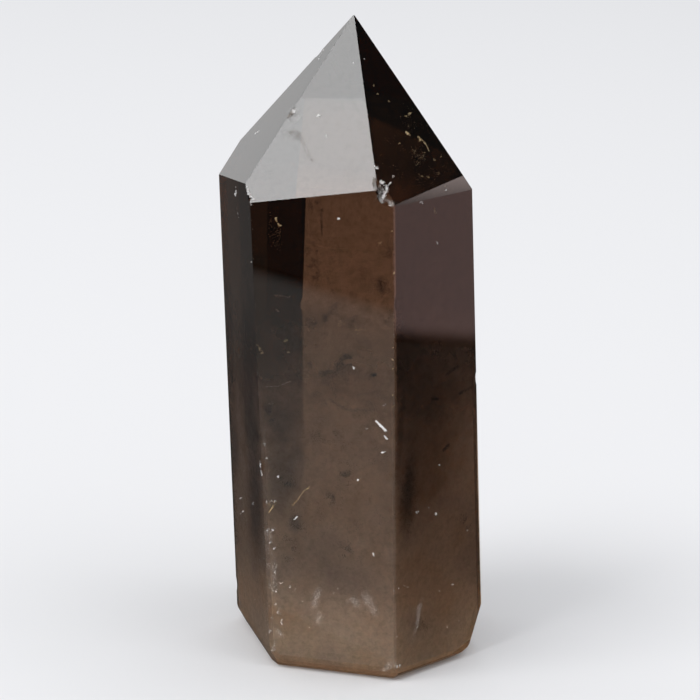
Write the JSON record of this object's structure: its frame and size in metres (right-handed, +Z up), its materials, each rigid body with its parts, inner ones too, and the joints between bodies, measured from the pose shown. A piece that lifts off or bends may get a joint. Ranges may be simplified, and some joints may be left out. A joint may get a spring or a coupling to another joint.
{
  "type": "smoky quartz point",
  "caption": "Polished hexagonal tower of see-through smoky quartz, a decorative display stone that narrows to a faceted point and stands on its flat cut base.",
  "frame": {"origin": "centre of the flat cut base, on the table", "axes": "+Z up towards the tip, -Y towards the front face, +X to the right seen from the front"},
  "size_m": [0.0413, 0.0403, 0.0949],
  "materials": {
    "smoky_quartz": "polished"
  },
  "bodies": {
    "root": {"quartz_point": "smoky_quartz"}
  },
  "joints": []
}
